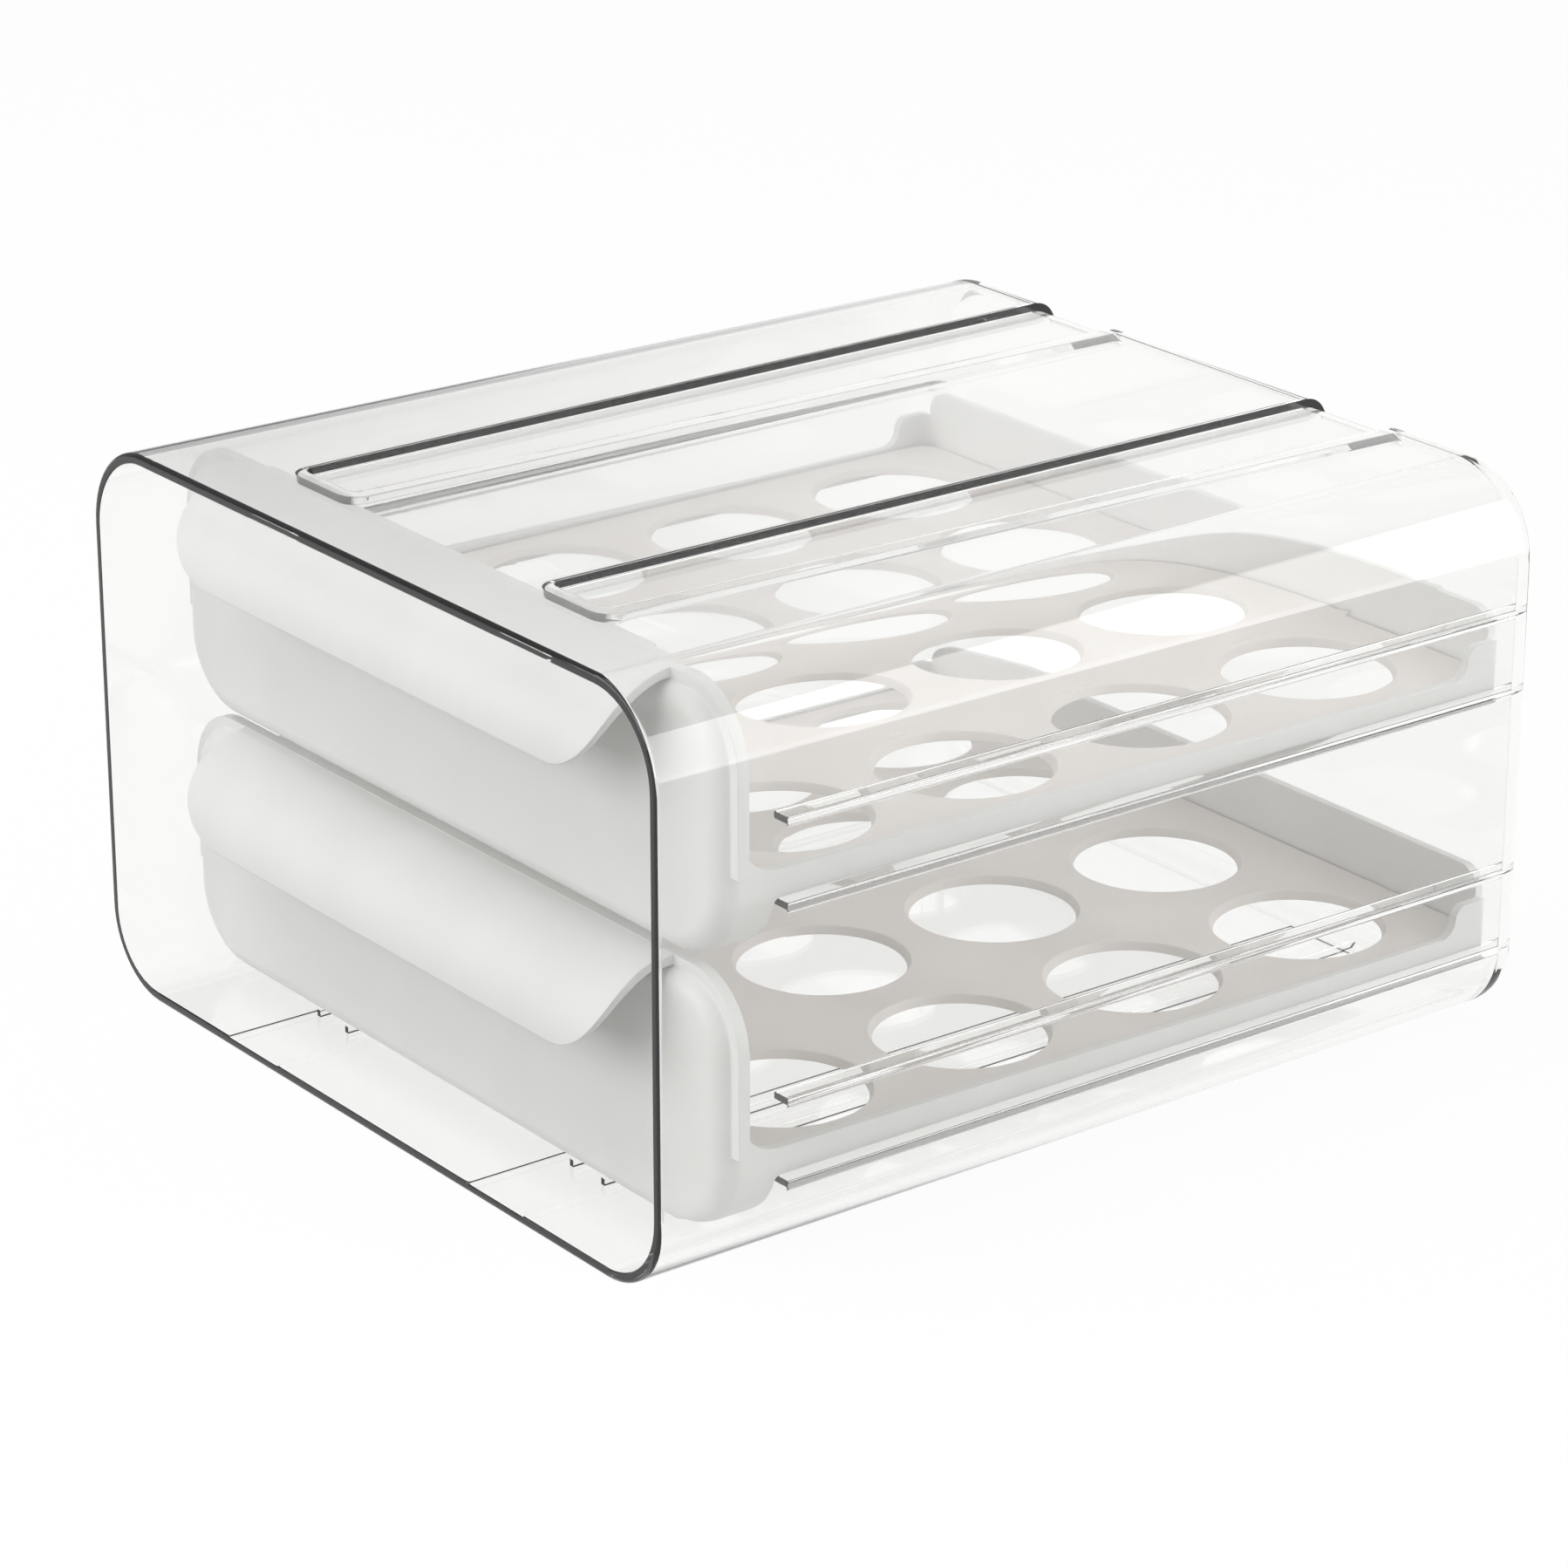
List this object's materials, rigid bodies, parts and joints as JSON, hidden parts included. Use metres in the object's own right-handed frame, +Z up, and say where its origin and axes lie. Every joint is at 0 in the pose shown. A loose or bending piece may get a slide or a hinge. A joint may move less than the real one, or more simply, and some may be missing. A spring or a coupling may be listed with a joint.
{
  "type": "egg storage box",
  "caption": "Clear two-tier egg keeper: an open-fronted case with two white pull-out drawers, each with a visor handle and a drop-in rack of round seats.",
  "frame": {"origin": "middle of the case's flat underside", "axes": "+Z up, -Y out of the open front where the drawers slide out, +X to the right seen from the front"},
  "size_m": [0.205, 0.231, 0.126],
  "materials": {
    "clear_case": "crystal clear, polished",
    "white_drawer": "satin moulded",
    "rack": "satin moulded"
  },
  "bodies": {
    "case": {"outer_case": "clear_case"},
    "upper_tray": {"upper_drawer": "white_drawer", "upper_egg_rack": "rack"},
    "lower_tray": {"lower_drawer": "white_drawer", "lower_egg_rack": "rack"}
  },
  "joints": [
    {"name": "upper_drawer_slide", "type": "slide", "parent": "case", "child": "upper_tray", "axis": [0, -1, 0], "range_m": [0, 0.165]},
    {"name": "lower_drawer_slide", "type": "slide", "parent": "case", "child": "lower_tray", "axis": [0, -1, 0], "range_m": [0, 0.165]}
  ]
}
